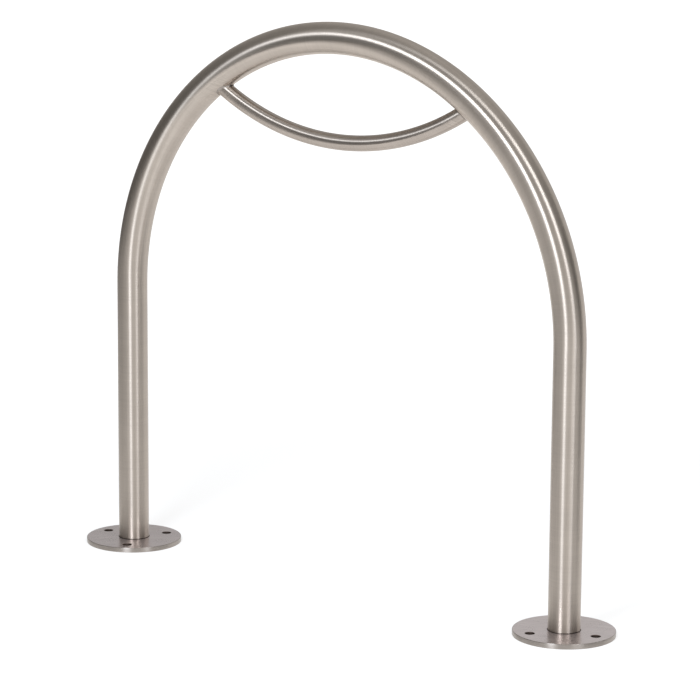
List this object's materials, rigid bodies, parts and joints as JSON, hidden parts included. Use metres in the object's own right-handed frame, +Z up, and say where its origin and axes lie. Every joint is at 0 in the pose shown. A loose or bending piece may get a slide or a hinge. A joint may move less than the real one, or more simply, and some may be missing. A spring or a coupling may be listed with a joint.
{
  "type": "hoop bike rack",
  "caption": "Hoop bike rack: a round steel tube arch on straight legs and bolt-down round floor flanges, with a thinner crossbar that sags across the arch.",
  "frame": {"origin": "on the floor, midway between the two legs", "axes": "+X from the left leg to the right leg, +Z up, and the hoop lies in the XZ plane"},
  "size_m": [1.028, 0.158, 0.9],
  "materials": {
    "brushed_tube": "stainless steel, fine brush lines round the tube",
    "brushed_plate": "stainless steel, fine satin, near mirror at a low angle",
    "dressed_weld": "stainless weld metal, dressed smooth by hand"
  },
  "bodies": {
    "root": {"hoop_tube": "brushed_tube", "crossbar": "brushed_tube", "left_flange": "brushed_plate", "right_flange": "brushed_plate", "left_flange_weld": "dressed_weld", "right_flange_weld": "dressed_weld", "left_crossbar_weld": "dressed_weld", "right_crossbar_weld": "dressed_weld"}
  },
  "joints": []
}
